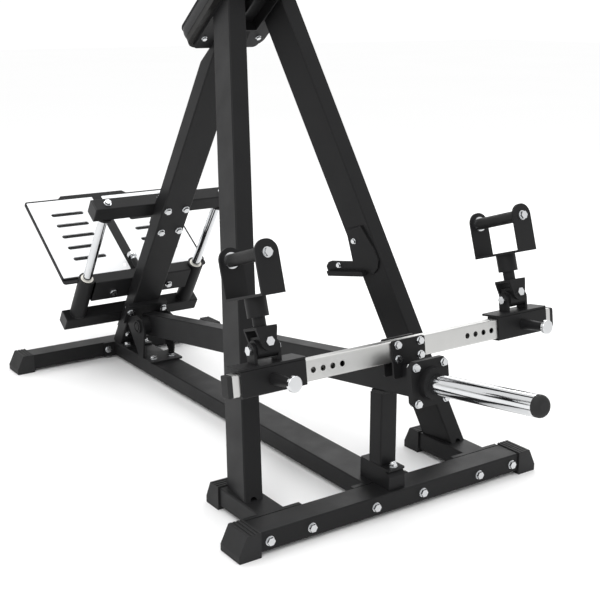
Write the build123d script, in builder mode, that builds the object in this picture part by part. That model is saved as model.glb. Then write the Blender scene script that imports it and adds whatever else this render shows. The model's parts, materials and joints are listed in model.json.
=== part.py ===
"""Plate-loaded chest-supported incline lever row machine.

X runs across the machine (it is mirrored about X = 0), +Y points to the rear,
where the foot platform is, and +Z points up.  The origin is on the floor under
the middle of the machine's box.  All lengths are in millimetres.
"""
from build123d import *
from math import cos, radians, sin, sqrt, tan
import os

os.makedirs("parts", exist_ok=True)

# ---------------------------------------------------------------- driving sizes
FRONT_Y = -675.18         # front face of the front floor beam
FRAME_Z = 4.0             # height of the column's and the lever's reference point
WALL = 3.0                # wall of every square and rectangular tube
TUBE_R = 4.0              # outside corner radius of the tubes
FLOOR_GAP = 10.0          # the rubber caps hold the floor beams this far up
BEAM_H = 50.0             # height of every floor beam
BEAM_TOP = FLOOR_GAP + BEAM_H
PLATE_T = 8.0             # welded flanges and brackets

FRONT_DEPTH = 75.0        # front beam, front to back
FRONT_HALF = 440.0        # half length of the front beam's tube
REAR_Y = FRONT_Y + 1558.0 # front face of the rear floor beam
REAR_DEPTH = 75.0
REAR_HALF = 380.0
CENTRE_W = 100.0          # central floor beam, laid flat
FOOT_X = 326.0            # centre of the short beams under the legs
FOOT_W = 75.0
FOOT_END = FRONT_Y + 295.0
CAP_REACH = 30.0          # how far a rubber cap stands out past its tube
CAP_SKIN = 4.5            # rubber thickness around the tube

BOLT_D = 12.0
HEAD_R = 10.4             # hexagon head, centre to corner
HEAD_H = 7.5
WASHER_R = 12.0
WASHER_H = 2.0
HOLE_CLEAR = 0.5          # hole radius over bolt radius
FLOOR_BOLT_Z = FLOOR_GAP + BEAM_H / 2

# legs: rectangular tubes that lean inward and rearward
LEG_W = 50.0
LEG_DEPTH = 100.0
LEG_FOOT_X = 332.0        # middle of the front face where it meets the foot beam
LEG_FOOT_Y = FRONT_Y + 152.5
LEG_LEAN = Vector(0.194, 0.357, 0.914)   # left leg, from foot to top

# main column: a flat tube that rises towards the front
COLUMN_ANGLE = 55.7       # above the floor
COLUMN_W = 100.0
COLUMN_D = 50.0
COLUMN_V = 1298.0         # its centre, measured square to the column
ROD_V = 1348.0            # guide rods, square to the column
ROD_X = 206.0
ROD_R = 15.0
GUIDE_HALF = 250.0        # half length of both guide beams
GUIDE_S = 50.0            # guide beam section
UPPER_U = -192.0          # guide beam centres, along the column
LOWER_U = -705.0

# sliding platform
HOUSING_R = 27.5
HOUSING_LOW = -672.0
HOUSING_HIGH = -506.0
PLATFORM_BEAM_LOW = -603.0
PLATFORM_BEAM_HIGH = -513.0
TREAD_U = -540.0          # top face of the tread plates
TREAD_T = 4.0
TREAD_HALF = 266.0
TREAD_FRONT = 1392.0
TREAD_REAR = 1763.0

# lever
ARM_ANGLE = 7.94          # above the floor, at rest on the post
ARM_AXIS_Z = 353.1        # height of the arm's axis over the front beam's face
ARM_W = 50.0
ARM_H = 75.0
PIVOT_S = -1338.0         # lever pivot, along the arm from the front beam's face
BAR_S = 9.5               # cross bar centre, along the arm
BAR_H = 71.6              # cross bar centre, above the arm's axis
BAR_D = 30.0
BAR_TALL = 50.0
BAR_HALF = 485.0
HOLE_STEP = 27.06
HOLE_FIRST = 193.0        # innermost adjustment hole
HOLE_COUNT = 8
PIN_X = HOLE_FIRST + HOLE_STEP * (HOLE_COUNT - 1)
HORN_R = 24.8

# chest pad
PAD_TILT = 37.0           # above the floor, rising towards the front
PAD_LOW_Y = FRONT_Y + 833.0
PAD_LOW_Z = 1108.0        # lower edge of the board's underside
PAD_HALF = 128.0
PAD_LENGTH = 420.0
PAD_CORNER = 42.0
BOARD_T = 16.0
FOAM_T = 50.0

# handles
STEM_LEAN = 17.5          # the handles lean rearward from vertical
JOINT_H = 137.0           # lower joint pin above the arm's axis
GRIP_RISE = 205.0         # grip axis above the lower joint pin


# ------------------------------------------------------------- frames of reference
COLUMN_U_DIR = Vector(0, -cos(radians(COLUMN_ANGLE)), sin(radians(COLUMN_ANGLE)))
COLUMN_V_DIR = Vector(0, sin(radians(COLUMN_ANGLE)), cos(radians(COLUMN_ANGLE)))
ARM_DIR = Vector(0, -cos(radians(ARM_ANGLE)), sin(radians(ARM_ANGLE)))
ARM_UP = Vector(0, sin(radians(ARM_ANGLE)), cos(radians(ARM_ANGLE)))
STEM_DIR = Vector(0, sin(radians(STEM_LEAN)), cos(radians(STEM_LEAN)))
STEM_FRONT_DIR = Vector(0, -cos(radians(STEM_LEAN)), sin(radians(STEM_LEAN)))
PAD_DIR = Vector(0, -cos(radians(PAD_TILT)), sin(radians(PAD_TILT)))
PAD_NORMAL = Vector(0, sin(radians(PAD_TILT)), cos(radians(PAD_TILT)))
ACROSS = Vector(1, 0, 0)
FRONT_FOOT = Vector(0, FRONT_Y, FRAME_Z)


def column_point(x, u, v):
    """Point at x, u along the column and v square to it."""
    return FRONT_FOOT + ACROSS * x + COLUMN_U_DIR * u + COLUMN_V_DIR * v


def along_column(x, u, v):
    """Plane across the column: local x is across, local y is v, normal is up the column."""
    return Plane(column_point(x, u, v), x_dir=ACROSS, z_dir=COLUMN_U_DIR)


def square_to_column(x, u, v):
    """Plane parallel to the column's rear face: local y runs down the column."""
    return Plane(column_point(x, u, v), x_dir=ACROSS, z_dir=COLUMN_V_DIR)


def column_side(x, u=0.0, v=0.0):
    """Plane seen from the side: local x is v, local y is u, normal is across."""
    return Plane(column_point(x, u, v), x_dir=COLUMN_V_DIR, z_dir=ACROSS)


def arm_point(x, s, h):
    """Point at x, s forward along the lever arm and h above its axis."""
    return FRONT_FOOT + Vector(x, 0, ARM_AXIS_Z) + ARM_DIR * s + ARM_UP * h


def along_arm(x, s, h):
    """Plane across the arm: local x is across, local y is h, normal is forward."""
    return Plane(arm_point(x, s, h), x_dir=ACROSS, z_dir=ARM_DIR)


def above_arm(x, s, h):
    """Plane parallel to the arm's top: local y is backward along the arm."""
    return Plane(arm_point(x, s, h), x_dir=ACROSS, z_dir=ARM_UP)


def arm_side(x, s=0.0, h=0.0):
    """Plane seen from the side: local x is backward along the arm, local y is h."""
    return Plane(arm_point(x, s, h), x_dir=-ARM_DIR, z_dir=ACROSS)


def pad_point(x, along, out):
    """Point on the pad: along its slope from the lower edge, out from the board's underside."""
    return Vector(x, PAD_LOW_Y, PAD_LOW_Z) + PAD_DIR * along + PAD_NORMAL * out


def on_pad(x, along, out):
    """Plane parallel to the pad's face: local y runs down the slope."""
    return Plane(pad_point(x, along, out), x_dir=ACROSS, z_dir=PAD_NORMAL)


# ------------------------------------------------------------------ shared shapes
def tube(plane, width, depth, length, wall=WALL, radius=TUBE_R):
    """Rectangular tube that starts on the plane and runs along its normal."""
    with BuildPart() as section:
        with BuildSketch(plane):
            RectangleRounded(width, depth, radius)
            RectangleRounded(width - 2 * wall, depth - 2 * wall, radius - wall, mode=Mode.SUBTRACT)
        extrude(amount=length)
    return section.part


def slab(plane, width, depth, thickness, corner=3.0):
    """Plate with rounded corners that starts on the plane."""
    with BuildPart() as plate:
        with BuildSketch(plane):
            RectangleRounded(width, depth, corner)
        extrude(amount=thickness)
    return plate.part


def rod(plane, radius, length, bore=0.0):
    """Round bar or pipe that starts on the plane."""
    with BuildPart() as bar:
        with BuildSketch(plane):
            Circle(radius)
            if bore:
                Circle(bore, mode=Mode.SUBTRACT)
        extrude(amount=length)
    return bar.part


def bolt(plane, grip, size=BOLT_D, nut=True):
    """Hexagon bolt seen from its head: the plane lies on the clamped surface, facing out."""
    scale = size / BOLT_D
    with BuildPart() as fastener:
        with BuildSketch(plane):
            Circle(WASHER_R * scale)
        extrude(amount=WASHER_H * scale)
        with BuildSketch(plane.offset(WASHER_H * scale)):
            RegularPolygon(HEAD_R * scale, 6)
        extrude(amount=HEAD_H * scale)
        with BuildSketch(plane):
            Circle(size / 2)
        extrude(amount=-grip)
        if nut:
            with BuildSketch(plane.offset(-grip)):
                RegularPolygon(HEAD_R * scale, 6)
            extrude(amount=-HEAD_H * scale)
    return fastener.part


BOLT_HOLE_R = BOLT_D / 2 + HOLE_CLEAR


def export(piece, name):
    """Label a finished piece and write it."""
    piece.part.label = name
    export_step(piece.part, f"parts/{name}.step")


def group(solids, name):
    """Write identical pieces as one group of solids."""
    with BuildPart() as members:
        for solid in solids:
            add(solid)
    export(members, name)


def mirrored(solid):
    """The same piece on the other side of the machine."""
    return mirror(solid, about=Plane.YZ)



# --------------------------------------------------------------------- floor beams
FLANGE_Y = FRONT_Y + FRONT_DEPTH
FLANGE_T = 12.0
FLANGE_H = 50.0
CENTRE_FLANGE_W = 180.0
FOOT_FLANGE_W = 165.0
CENTRE_BOLT_X = 75.0
FOOT_BOLT_OFFSET = 59.0
FLANGE_BOLT_X = (CENTRE_BOLT_X, FOOT_X - FOOT_BOLT_OFFSET, FOOT_X + FOOT_BOLT_OFFSET)
REAR_FLANGE_T = 8.0
REAR_FLANGE_W = 178.0
REAR_BOLT_X = 75.0


def facing_front(x, y, z):
    """Upright plane that faces the front of the machine."""
    return Plane((x, y, z), x_dir=(1, 0, 0), z_dir=(0, -1, 0))


def facing_rear(x, y, z):
    """Upright plane that faces the rear; its local x points to -X."""
    return Plane((x, y, z), x_dir=(-1, 0, 0), z_dir=(0, 1, 0))


def facing_right(x, y, z):
    """Upright plane that faces +X; its local x points to the rear."""
    return Plane((x, y, z), x_dir=(0, 1, 0), z_dir=(1, 0, 0))


def both_sides(values):
    """Every value and its mirror image."""
    return [side * value for side in (-1, 1) for value in values]


def cross_floor_beam(front_y, depth, half, bolt_x):
    """Floor beam across the machine, drilled from its front face."""
    shell = tube(facing_right(-half, front_y + depth / 2, FLOOR_BOLT_Z), depth, BEAM_H, 2 * half)
    with BuildPart() as beam:
        add(shell)
        with BuildSketch(facing_front(0, front_y, FLOOR_BOLT_Z)):
            with Locations([(x, 0) for x in both_sides(bolt_x)]):
                Circle(BOLT_HOLE_R)
        extrude(amount=-depth, mode=Mode.SUBTRACT)
    return beam


def flanged_floor_beam(centre_x, width, end_y, flange_w, bolt_offset):
    """Beam that runs rearward from a flange bolted to the back of the front beam."""
    back = facing_rear(centre_x, FLANGE_Y, FLOOR_BOLT_Z)
    flange = slab(back, flange_w, FLANGE_H, FLANGE_T)
    shell = tube(back.offset(FLANGE_T), width, BEAM_H, end_y - FLANGE_Y - FLANGE_T)
    with BuildPart() as beam:
        add(flange)
        add(shell)
        with BuildSketch(back):
            with Locations((-bolt_offset, 0), (bolt_offset, 0)):
                Circle(BOLT_HOLE_R)
        extrude(amount=FLANGE_T, mode=Mode.SUBTRACT)
    return beam


front_beam = cross_floor_beam(FRONT_Y, FRONT_DEPTH, FRONT_HALF, FLANGE_BOLT_X)
export(front_beam, "front_floor_beam")
rear_beam = cross_floor_beam(REAR_Y, REAR_DEPTH, REAR_HALF, [REAR_BOLT_X])
export(rear_beam, "rear_floor_beam")
for foot_name, foot_side in (("left_foot_beam", -1), ("right_foot_beam", 1)):
    foot_beam = flanged_floor_beam(foot_side * FOOT_X, FOOT_W, FOOT_END, FOOT_FLANGE_W, FOOT_BOLT_OFFSET)
    export(foot_beam, foot_name)

# the central beam also carries the column's base plate and the lever's bracket
BASE_BOLTS = [(x, FRONT_Y + 1272.0) for x in (-34.0, 34.0)]
COLUMN_BASE_BOLTS = [(x, FRONT_Y + 1474.0) for x in (-34.0, 34.0)]
COLUMN_BASE_FRONT = FRONT_Y + 1448.0
COLUMN_BASE_REAR = FRONT_Y + 1545.0
central = flanged_floor_beam(0, CENTRE_W, REAR_Y - REAR_FLANGE_T, CENTRE_FLANGE_W, CENTRE_BOLT_X)
rear_flange = slab(facing_front(0, REAR_Y, FLOOR_BOLT_Z), REAR_FLANGE_W, FLANGE_H, REAR_FLANGE_T)
with BuildPart() as central_beam:
    add(central.part)
    add(rear_flange)
    with BuildSketch(facing_front(0, REAR_Y, FLOOR_BOLT_Z)):
        with Locations((-REAR_BOLT_X, 0), (REAR_BOLT_X, 0)):
            Circle(BOLT_HOLE_R)
    extrude(amount=REAR_FLANGE_T, mode=Mode.SUBTRACT)
    with BuildSketch(Plane.XY.offset(BEAM_TOP)):
        with Locations(BASE_BOLTS + COLUMN_BASE_BOLTS):
            Circle(BOLT_HOLE_R)
    extrude(amount=-BEAM_H, mode=Mode.SUBTRACT)
export(central_beam, "central_floor_beam")

# ------------------------------------------------------------------ rubber end caps
CAP_TOP = BEAM_TOP + 3.5
CAP_SLOPE = 22.0          # the cap's top is this much shorter than its foot
CAP_NOSE = 18.0           # height of the upright part of its end
CAP_FIT = 0.3             # clearance around the tube
CAP_TUCK = 30.0           # how far a cap laps over its tube
GROOVE_W = 3.5
GROOVE_D = 1.6
GROOVE_PITCH = 10.0
GROOVES = 3


def end_cap(end, width):
    """Ribbed rubber shoe; the plane lies on the tube's end at floor level, facing out."""
    outer = width + 2 * CAP_SKIN
    side = Plane(end.origin - end.x_dir * (outer / 2), x_dir=end.z_dir, z_dir=end.x_dir)
    rise = side.y_dir.Z
    pocket = Plane(end.origin + Vector(0, 0, FLOOR_BOLT_Z), x_dir=end.x_dir, z_dir=-end.z_dir)
    with BuildPart() as cap:
        with BuildSketch(side):
            with BuildLine():
                Polyline((-CAP_TUCK, 0), (CAP_REACH, 0), (CAP_REACH, rise * CAP_NOSE),
                         (CAP_REACH - CAP_SLOPE, rise * CAP_TOP), (-CAP_TUCK, rise * CAP_TOP), close=True)
            make_face()
        extrude(amount=outer)
        fillet(cap.edges().group_by(SortBy.LENGTH)[-1], 2.5)
        with BuildSketch(pocket):
            RectangleRounded(width + 2 * CAP_FIT, BEAM_H + 2 * CAP_FIT, TUBE_R)
        extrude(amount=CAP_TUCK, mode=Mode.SUBTRACT)
        for index in range(GROOVES):
            with BuildSketch(Plane.XY.offset(CAP_TOP)):
                centre = end.origin + end.z_dir * (CAP_REACH - CAP_SLOPE - GROOVE_PITCH * (index + 1))
                with Locations((centre.X, centre.Y)):
                    if abs(end.z_dir.X) > 0.5:
                        Rectangle(GROOVE_W, outer)
                    else:
                        Rectangle(outer, GROOVE_W)
            extrude(amount=-GROOVE_D, mode=Mode.SUBTRACT)
    return cap.part


front_end = Plane((FRONT_HALF, FRONT_Y + FRONT_DEPTH / 2, 0), x_dir=(0, 1, 0), z_dir=(1, 0, 0))
rear_end = Plane((REAR_HALF, REAR_Y + REAR_DEPTH / 2, 0), x_dir=(0, 1, 0), z_dir=(1, 0, 0))
foot_end = Plane((FOOT_X, FOOT_END, 0), x_dir=(-1, 0, 0), z_dir=(0, 1, 0))
caps = [end_cap(front_end, FRONT_DEPTH), end_cap(rear_end, REAR_DEPTH), end_cap(foot_end, FOOT_W)]
group(caps + [mirrored(cap) for cap in caps], "floor_end_caps")

# ------------------------------------------------------------------------- uprights
PLATE_UNDER = -PLATE_T    # underside of the pad's support plate
TOOL = 2000.0             # size of the blocks that trim tubes
LEG_LONG = 1500.0
LEG_BELOW = 80.0          # extra length below the foot, trimmed off
LEG_TURN = 0.06           # the legs' front faces are turned this much outward
NOTCH_R = 9.0


def above_pad_plate():
    """Everything above the underside of the pad's support plate."""
    return slab(on_pad(0, 0, PLATE_UNDER), TOOL, TOOL, TOOL / 2)


def below_height(height):
    """Everything below a height."""
    return slab(Plane.XY.offset(height), TOOL * 2, TOOL * 2, -TOOL / 2)


def leg():
    """Left leg: a rectangular tube cut level at its foot and to the pad's slope on top."""
    foot = Vector(-LEG_FOOT_X, LEG_FOOT_Y, BEAM_TOP)
    level = Vector(1, -LEG_TURN, 0)
    width_dir = level - LEG_LEAN * level.dot(LEG_LEAN)
    depth_dir = LEG_LEAN.cross(width_dir).normalized()
    start = foot + depth_dir * (LEG_DEPTH / 2) - LEG_LEAN * LEG_BELOW
    shell = tube(Plane(start, x_dir=width_dir, z_dir=LEG_LEAN), LEG_W, LEG_DEPTH, LEG_LONG)
    with BuildPart() as post:
        add(shell)
        add(above_pad_plate(), mode=Mode.SUBTRACT)
        add(below_height(BEAM_TOP), mode=Mode.SUBTRACT)
        with BuildSketch(facing_front(-LEG_FOOT_X, LEG_FOOT_Y - LEG_W, BEAM_TOP)):
            Circle(NOTCH_R)
        extrude(amount=-LEG_DEPTH, mode=Mode.SUBTRACT)
    return post


left_leg = leg()
export(left_leg, "left_leg")

HOOK_UP = 570.0           # reference point of the storage hook, along the leg from its foot
HOOK_PLATE_T = 6.0
M8 = 8.0
HOOK_HOLE_R = M8 / 2 + HOLE_CLEAR
HOOK_BOLT = (21.0, -50.0)       # on the leg's inner face, from the reference point
HOOK_TIP_BOLT = (120.0, 0.0)
leg_width_dir = (Vector(1, -LEG_TURN, 0) - LEG_LEAN * Vector(1, -LEG_TURN, 0).dot(LEG_LEAN)).normalized()
leg_depth_dir = LEG_LEAN.normalized().cross(leg_width_dir)
hook_spot = (Vector(-LEG_FOOT_X, LEG_FOOT_Y, BEAM_TOP) + leg_width_dir * (LEG_W / 2)
             + leg_depth_dir * (LEG_DEPTH / 2) + LEG_LEAN.normalized() * HOOK_UP)
hook_face = Plane((-hook_spot.X, hook_spot.Y, hook_spot.Z),
                  x_dir=(-leg_depth_dir.X, leg_depth_dir.Y, leg_depth_dir.Z),
                  z_dir=(-leg_width_dir.X, leg_width_dir.Y, leg_width_dir.Z))


def on_hook(spot, lift):
    """Plane parallel to the hook's plate, over a spot on it."""
    return Plane(hook_face.from_local_coords(Vector(spot[0], spot[1], lift)),
                 x_dir=hook_face.x_dir, z_dir=hook_face.z_dir)


with BuildPart() as right_leg:
    add(mirrored(left_leg.part))
    with BuildSketch(hook_face):
        with Locations(HOOK_BOLT):
            Circle(HOOK_HOLE_R)
    extrude(amount=-LEG_W, mode=Mode.SUBTRACT)
export(right_leg, "right_leg")

# stop post: the lever rests on its rubber bumper
POST_W = 50.0
POST_FRONT = FRONT_Y + 48.0
POST_REAR = FRONT_Y + 96.0
BLOCK_LOW = BEAM_TOP
BLOCK_TOP = 108.0
BLOCK_FRONT = FRONT_Y + 12.0
BLOCK_REAR = FRONT_Y + 130.0
BLOCK_CHAMFER = 14.0
POST_FLANGE_T = 5.0
BUMPER_T = 8.0
BUMPER_GAP = 0.5
ARM_UNDER = -ARM_H / 2
STUD_Y = FRONT_Y + 29.0
STUD_R = 6.0


def above_arm_level(level):
    """Everything above a level that is parallel to the arm's underside."""
    return slab(above_arm(0, 0, level), TOOL, TOOL, TOOL / 2)


block_size = (POST_W + 2, BLOCK_REAR - BLOCK_FRONT)
block_middle = (BLOCK_FRONT + BLOCK_REAR) / 2
with BuildPart() as stop_block:
    with BuildSketch(Plane.XY.offset(BLOCK_LOW)):
        with Locations((0, block_middle)):
            Rectangle(*block_size)
    extrude(amount=BLOCK_TOP - BLOCK_LOW)
    chamfer(stop_block.edges().filter_by(Axis.X).group_by(Axis.Z)[-1].sort_by(Axis.Y)[0], BLOCK_CHAMFER)
    fillet(stop_block.edges().filter_by(Axis.Z), 3)
    with BuildSketch(Plane.XY.offset(BLOCK_TOP)):
        with Locations((0, STUD_Y)):
            Circle(STUD_R + HOLE_CLEAR)
    extrude(amount=-BEAM_H, mode=Mode.SUBTRACT)
export(stop_block, "stop_block")

with BuildPart() as stop_post:
    with BuildSketch(Plane.XY.offset(BLOCK_TOP)):
        with Locations((0, (BLOCK_FRONT + BLOCK_REAR) / 2)):
            RectangleRounded(POST_W + 2, BLOCK_REAR - BLOCK_FRONT - 2 * BLOCK_CHAMFER + 24, 3)
        with Locations((0, STUD_Y)):
            Circle(STUD_R + HOLE_CLEAR, mode=Mode.SUBTRACT)
    extrude(amount=POST_FLANGE_T)
    with BuildSketch(Plane.XY.offset(BLOCK_TOP + POST_FLANGE_T)):
        with Locations((0, (POST_FRONT + POST_REAR) / 2)):
            RectangleRounded(POST_W, POST_REAR - POST_FRONT, TUBE_R)
            RectangleRounded(POST_W - 2 * WALL, POST_REAR - POST_FRONT - 2 * WALL, 1, mode=Mode.SUBTRACT)
    extrude(amount=TOOL / 4)
    add(above_arm_level(ARM_UNDER - BUMPER_T - BUMPER_GAP), mode=Mode.SUBTRACT)
export(stop_post, "stop_post")

with BuildPart() as stop_bumper:
    bumper_s = FRONT_Y - (POST_FRONT + POST_REAR) / 2
    with BuildSketch(above_arm(0, bumper_s, ARM_UNDER - BUMPER_T - BUMPER_GAP)):
        RectangleRounded(POST_W + 2, (POST_REAR - POST_FRONT) / cos(radians(ARM_ANGLE)) + 2, TUBE_R)
    extrude(amount=BUMPER_T)
    fillet(stop_bumper.edges().group_by(SortBy.LENGTH)[-1], 1.5)
export(stop_bumper, "stop_bumper")

ACORN_H = 12.0
with BuildPart() as stop_stud:
    with BuildSketch(Plane.XY.offset(BLOCK_TOP + POST_FLANGE_T)):
        with Locations((0, STUD_Y)):
            Circle(WASHER_R)
    extrude(amount=WASHER_H)
    with BuildSketch(Plane.XY.offset(BLOCK_TOP + POST_FLANGE_T + WASHER_H)):
        with Locations((0, STUD_Y)):
            RegularPolygon(HEAD_R, 6)
    extrude(amount=HEAD_H)
    with BuildSketch(Plane.XY.offset(BLOCK_TOP + POST_FLANGE_T + WASHER_H + HEAD_H)):
        with Locations((0, STUD_Y)):
            Circle(HEAD_R * 0.8)
    extrude(amount=ACORN_H / 2)
    fillet(stop_stud.edges().group_by(Axis.Z)[-1], ACORN_H / 2 - 1)
    with BuildSketch(Plane.XY.offset(BLOCK_TOP + POST_FLANGE_T)):
        with Locations((0, STUD_Y)):
            Circle(STUD_R)
    extrude(amount=-BEAM_H / 2)

# main column with its base plate, the bracket's lug plate and the lock holes
COLUMN_FRONT_V = COLUMN_V - COLUMN_D / 2
COLUMN_REAR_V = COLUMN_V + COLUMN_D / 2
BASE_PLATE_T = 6.0
LUG_HALF = 75.0
LUG_LOW = -664.0
LUG_HIGH = -582.0
CHEEK_HIGH = -632.0       # the bracket's cheeks meet its web below this
LUG_T = 8.0
LUG_BOLT_X = 62.0
LUG_BOLT_U = -607.0
BRACKET_BOLTS = [(x, LUG_BOLT_U) for x in (-LUG_BOLT_X, LUG_BOLT_X)]
TAB_BOLT_X = 32.0
TAB_OUT = 29.0            # guide beam bolts sit this far above and below the beam's faces
TAB_REACH = 46.0
TAB_T = 8.0
UPPER_BOLTS_U = (UPPER_U - 25.0 - TAB_OUT, UPPER_U + 25.0 + 14.4)
LOWER_BOLTS_U = (LOWER_U - 25.0 - 16.0,)
COLUMN_BOLTS = [(x, u) for x in (-TAB_BOLT_X, TAB_BOLT_X) for u in UPPER_BOLTS_U + LOWER_BOLTS_U]
LOCK_U = -522.0
LOCK_PITCH = 60.0
LOCK_HOLES = 5
LOCK_PIN_R = 7.0
COLUMN_LOW_U = -900.0
COLUMN_LONG = 1600.0


def column_hole_points(points):
    """Positions on a plane square to the column, whose local y runs down the column."""
    return [(x, -u) for x, u in points]


column_shell = tube(along_column(0, COLUMN_LOW_U, COLUMN_V), COLUMN_W, COLUMN_D, COLUMN_LONG)
with BuildPart() as main_column:
    add(column_shell)
    add(above_pad_plate(), mode=Mode.SUBTRACT)
    add(below_height(BEAM_TOP + BASE_PLATE_T), mode=Mode.SUBTRACT)
    with BuildSketch(Plane.XY.offset(BEAM_TOP)):
        with Locations((0, (COLUMN_BASE_FRONT + COLUMN_BASE_REAR) / 2)):
            RectangleRounded(COLUMN_W, COLUMN_BASE_REAR - COLUMN_BASE_FRONT, 3)
        with Locations(COLUMN_BASE_BOLTS):
            Circle(BOLT_HOLE_R, mode=Mode.SUBTRACT)
    extrude(amount=BASE_PLATE_T)
    with BuildSketch(square_to_column(0, 0, COLUMN_FRONT_V)):
        with Locations((0, -(LUG_LOW + LUG_HIGH) / 2)):
            RectangleRounded(2 * LUG_HALF, LUG_HIGH - LUG_LOW, 6)
        with Locations(column_hole_points(BRACKET_BOLTS)):
            Circle(BOLT_HOLE_R, mode=Mode.SUBTRACT)
    extrude(amount=-LUG_T)
    with BuildSketch(square_to_column(0, 0, COLUMN_FRONT_V)):
        with Locations(column_hole_points(COLUMN_BOLTS)):
            Circle(BOLT_HOLE_R)
    extrude(amount=COLUMN_D, mode=Mode.SUBTRACT)
    with BuildSketch(square_to_column(0, 0, COLUMN_V)):
        with Locations([(0, -(LOCK_U + LOCK_PITCH * index)) for index in range(LOCK_HOLES)]):
            Circle(LOCK_PIN_R + 1)
    extrude(amount=COLUMN_D / 2, mode=Mode.SUBTRACT)
export(main_column, "main_column")

# --------------------------------------------------------------------- pivot bracket
CHEEK_IN = 54.0
CHEEK_T = 6.0
SHAFT_R = 12.5
SHAFT_HEAD_R = 23.0
SHAFT_RING_R = 17.5       # ring groove in the shaft's end caps
SHAFT_RING_DEEP = 3.0
SHAFT_HEAD_T = 7.0
HUB_R = 30.0
HUB_BORE = 17.0
BUSH_FLANGE_T = 2.5
BRACKET_BASE_T = 6.0
BRACKET_Y0 = FRONT_Y + 1240.0
BRACKET_Y1 = FRONT_Y + 1340.0
CHEEK_FOOT_FRONT = FRONT_Y + 1300.0
CHEEK_FOOT_REAR = FRONT_Y + 1332.0
CHEEK_LAND = 4.0          # the web reaches this far below the cheeks
WEB_T = 8.0
WEB_FRONT_V = COLUMN_FRONT_V - LUG_T - WEB_T
pivot_point = arm_point(0, PIVOT_S, 0)
web_low = column_point(0, LUG_LOW + CHEEK_LAND, WEB_FRONT_V)
web_high = column_point(0, CHEEK_HIGH, WEB_FRONT_V)
CHEEK_OUTLINE = [(CHEEK_FOOT_FRONT, BEAM_TOP + BRACKET_BASE_T), (CHEEK_FOOT_REAR, BEAM_TOP + BRACKET_BASE_T),
                 (web_low.Y, web_low.Z), (web_high.Y, web_high.Z),
                 (pivot_point.Y + 12, pivot_point.Z + 37), (pivot_point.Y - 26, pivot_point.Z + 28),
                 (pivot_point.Y - 40, pivot_point.Z - 6)]


def bracket_cheek(x):
    """Side plate of the pivot bracket whose inner or outer face lies at x."""
    with BuildPart() as cheek:
        with BuildSketch(Plane((x, 0, 0), x_dir=(0, 1, 0), z_dir=(1, 0, 0))):
            with BuildLine():
                Polyline(*CHEEK_OUTLINE, close=True)
            make_face()
            with Locations((pivot_point.Y, pivot_point.Z)):
                Circle(SHAFT_R, mode=Mode.SUBTRACT)
        extrude(amount=CHEEK_T)
    return cheek.part


left_cheek = bracket_cheek(-CHEEK_IN - CHEEK_T)
right_cheek = bracket_cheek(CHEEK_IN)
with BuildPart() as pivot_bracket:
    with BuildSketch(Plane.XY.offset(BEAM_TOP)):
        with Locations((0, (BRACKET_Y0 + BRACKET_Y1) / 2)):
            RectangleRounded(2 * (CHEEK_IN + CHEEK_T), BRACKET_Y1 - BRACKET_Y0, 4)
        with Locations(BASE_BOLTS):
            Circle(BOLT_HOLE_R, mode=Mode.SUBTRACT)
    extrude(amount=BRACKET_BASE_T)
    add(left_cheek)
    add(right_cheek)
    with BuildSketch(square_to_column(0, 0, WEB_FRONT_V)):
        with Locations((0, -(LUG_LOW + LUG_HIGH) / 2)):
            RectangleRounded(2 * LUG_HALF, LUG_HIGH - LUG_LOW, 6)
        with Locations(column_hole_points(BRACKET_BOLTS)):
            Circle(BOLT_HOLE_R, mode=Mode.SUBTRACT)
    extrude(amount=WEB_T)
export(pivot_bracket, "pivot_bracket")

shaft_end = Plane(pivot_point - ACROSS * (CHEEK_IN + CHEEK_T), x_dir=(0, -1, 0), z_dir=(-1, 0, 0))
with BuildPart() as pivot_shaft:
    with BuildSketch(shaft_end):
        Circle(SHAFT_R)
    extrude(amount=-2 * (CHEEK_IN + CHEEK_T))
    with BuildSketch(shaft_end, shaft_end.offset(-2 * (CHEEK_IN + CHEEK_T) - SHAFT_HEAD_T)):
        Circle(SHAFT_HEAD_R)
    extrude(amount=SHAFT_HEAD_T)
    fillet(pivot_shaft.edges().group_by(Axis.X)[0] + pivot_shaft.edges().group_by(Axis.X)[-1], 2)
    with BuildSketch(shaft_end.offset(SHAFT_HEAD_T)):
        Circle(SHAFT_RING_R)
        Circle(SHAFT_R, mode=Mode.SUBTRACT)
    extrude(amount=-SHAFT_RING_DEEP, mode=Mode.SUBTRACT)
    with BuildSketch(shaft_end.offset(-2 * (CHEEK_IN + CHEEK_T) - SHAFT_HEAD_T)):
        Circle(SHAFT_RING_R)
        Circle(SHAFT_R, mode=Mode.SUBTRACT)
    extrude(amount=SHAFT_RING_DEEP, mode=Mode.SUBTRACT)
export(pivot_shaft, "pivot_shaft")

# ---------------------------------------------------------- guide beams and guide rods
ROD_BOLT_DEPTH = 22.0
GUIDE_CAP_T = 4.0
GUIDE_CAP_PLUG = 18.0
COLLAR_R = 28.5
COLLAR_LONG = 8.0
BUFFER_T = 5.5
BUFFER_R = 27.0
GUIDE_V = COLUMN_REAR_V + GUIDE_S / 2
ROD_LOW = LOWER_U + GUIDE_S / 2
ROD_HIGH = UPPER_U - GUIDE_S / 2


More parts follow.
